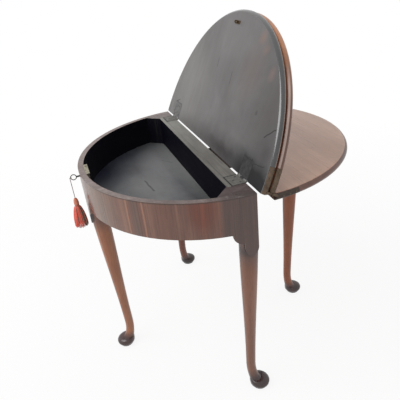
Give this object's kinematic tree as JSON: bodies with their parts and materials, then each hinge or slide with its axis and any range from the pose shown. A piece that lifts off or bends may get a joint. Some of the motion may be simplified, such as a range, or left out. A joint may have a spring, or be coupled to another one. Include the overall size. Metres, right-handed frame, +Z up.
{
  "type": "card table",
  "caption": "Half-round folding card table: hinged leaves over a lidded well, brass edge hinges, iron butts, a lock with key and tassel, and a gate leg that carries the rear leaf.",
  "frame": {"origin": "on the floor, under the middle of the object's box without the tassel", "axes": "+Z up, the bowed front along -Y, the gate leg and the level rear leaf along +Y"},
  "size_m": [0.768, 0.8388, 1.0227],
  "materials": {
    "frieze_veneer": "french polished mahogany veneer, black inside the well",
    "leaf_mahogany": "french polished mahogany",
    "lid_black": "black-stained underside, satin and scuffed",
    "leg_mahogany": "polished turned mahogany",
    "gate_mahogany": "polished mahogany, redder",
    "rail_oak": "old stained oak, dull",
    "well_black": "black-stained board, scuffed",
    "iron": "old dark iron",
    "brass": "dull tarnished brass",
    "steel": "dark worn steel",
    "cord_silk": "twisted maroon cord",
    "tassel_silk": "red and olive tassel threads"
  },
  "bodies": {
    "frame": {"frieze": "frieze_veneer", "back_rail": "rail_oak", "well_liner": "rail_oak", "well_floor": "well_black", "right_corner_block": "leg_mahogany", "left_corner_block": "leg_mahogany", "front_leg": "leg_mahogany", "right_leg": "leg_mahogany", "left_leg": "leg_mahogany", "knuckle_rail": "rail_oak", "knuckle_pin": "iron", "right_butt_rail_plate": "iron", "left_butt_rail_plate": "iron", "right_butt_pin": "iron", "left_butt_pin": "iron", "lock_plate": "brass", "lock_cap": "brass"},
    "lid": {"lid_leaf": "lid_black", "right_lid_arm": "brass", "left_lid_arm": "brass", "right_butt_lid_plate": "iron", "left_butt_lid_plate": "iron", "lid_staple": "brass"},
    "lower_links": {"right_lower_link": "brass", "left_lower_link": "brass"},
    "middle": {"middle_leaf": "leaf_mahogany", "right_middle_arm": "brass", "left_middle_arm": "brass"},
    "upper_links": {"right_upper_link": "brass", "left_upper_link": "brass"},
    "rear": {"rear_leaf": "leaf_mahogany", "right_rear_arm": "brass", "left_rear_arm": "brass"},
    "gate": {"fly_rail": "gate_mahogany", "gate_leg": "gate_mahogany"},
    "key": {"key": "steel"},
    "bolt": {"lock_bolt": "steel"},
    "tassel": {"tassel_cord": "cord_silk", "tassel_head": "tassel_silk", "tassel_skirt": "tassel_silk"}
  },
  "joints": [
    {"name": "lid_hinge", "type": "hinge", "parent": "frame", "child": "lid", "pos_m": [0, -0.01119, 0.67425], "axis": [1, 0, 0], "range_deg": [0, 114.4]},
    {"name": "lower_link_hinge", "type": "hinge", "parent": "lid", "child": "lower_links", "pos_m": [0, 0.00377, 0.67515], "axis": [-1, 0, 0], "range_deg": [0, 90]},
    {"name": "middle_hinge", "type": "hinge", "parent": "lower_links", "child": "middle", "pos_m": [0, 0.01397, 0.67052], "axis": [-1, 0, 0], "range_deg": [0, 90]},
    {"name": "upper_link_hinge", "type": "hinge", "parent": "middle", "child": "upper_links", "pos_m": [0, 0.02125, 0.66722], "axis": [1, 0, 0], "range_deg": [0, 10]},
    {"name": "rear_hinge", "type": "hinge", "parent": "upper_links", "child": "rear", "pos_m": [0, 0.03049, 0.66089], "axis": [1, 0, 0], "range_deg": [0, 55.6]},
    {"name": "gate_hinge", "type": "hinge", "parent": "frame", "child": "gate", "pos_m": [0.001, -0.00409, 0.6], "axis": [0, 0, 1], "range_deg": [0, 90]},
    {"name": "key_turn", "type": "hinge", "parent": "frame", "child": "key", "pos_m": [0, -0.40039, 0.658], "axis": [0, 1, 0], "range_deg": [0, 180]},
    {"name": "bolt_slide", "type": "slide", "parent": "frame", "child": "bolt", "axis": [-1, 0, 0], "range_m": [0, 0.008]},
    {"name": "tassel_hang", "type": "hinge", "parent": "key", "child": "tassel", "pos_m": [0, -0.41079, 0.658], "axis": [0, 1, 0], "range_deg": [-180, 0]}
  ],
  "couplings": [
    {"joint": "lower_link_hinge", "follows": "lid_hinge", "ratio": 0.78671},
    {"joint": "middle_hinge", "follows": "lid_hinge", "ratio": 0.78671},
    {"joint": "upper_link_hinge", "follows": "lid_hinge", "ratio": 0.087413},
    {"joint": "rear_hinge", "follows": "lid_hinge", "ratio": 0.48601},
    {"joint": "bolt_slide", "follows": "key_turn", "m_per_rad": 0.0025464},
    {"joint": "tassel_hang", "follows": "key_turn", "ratio": -1}
  ]
}
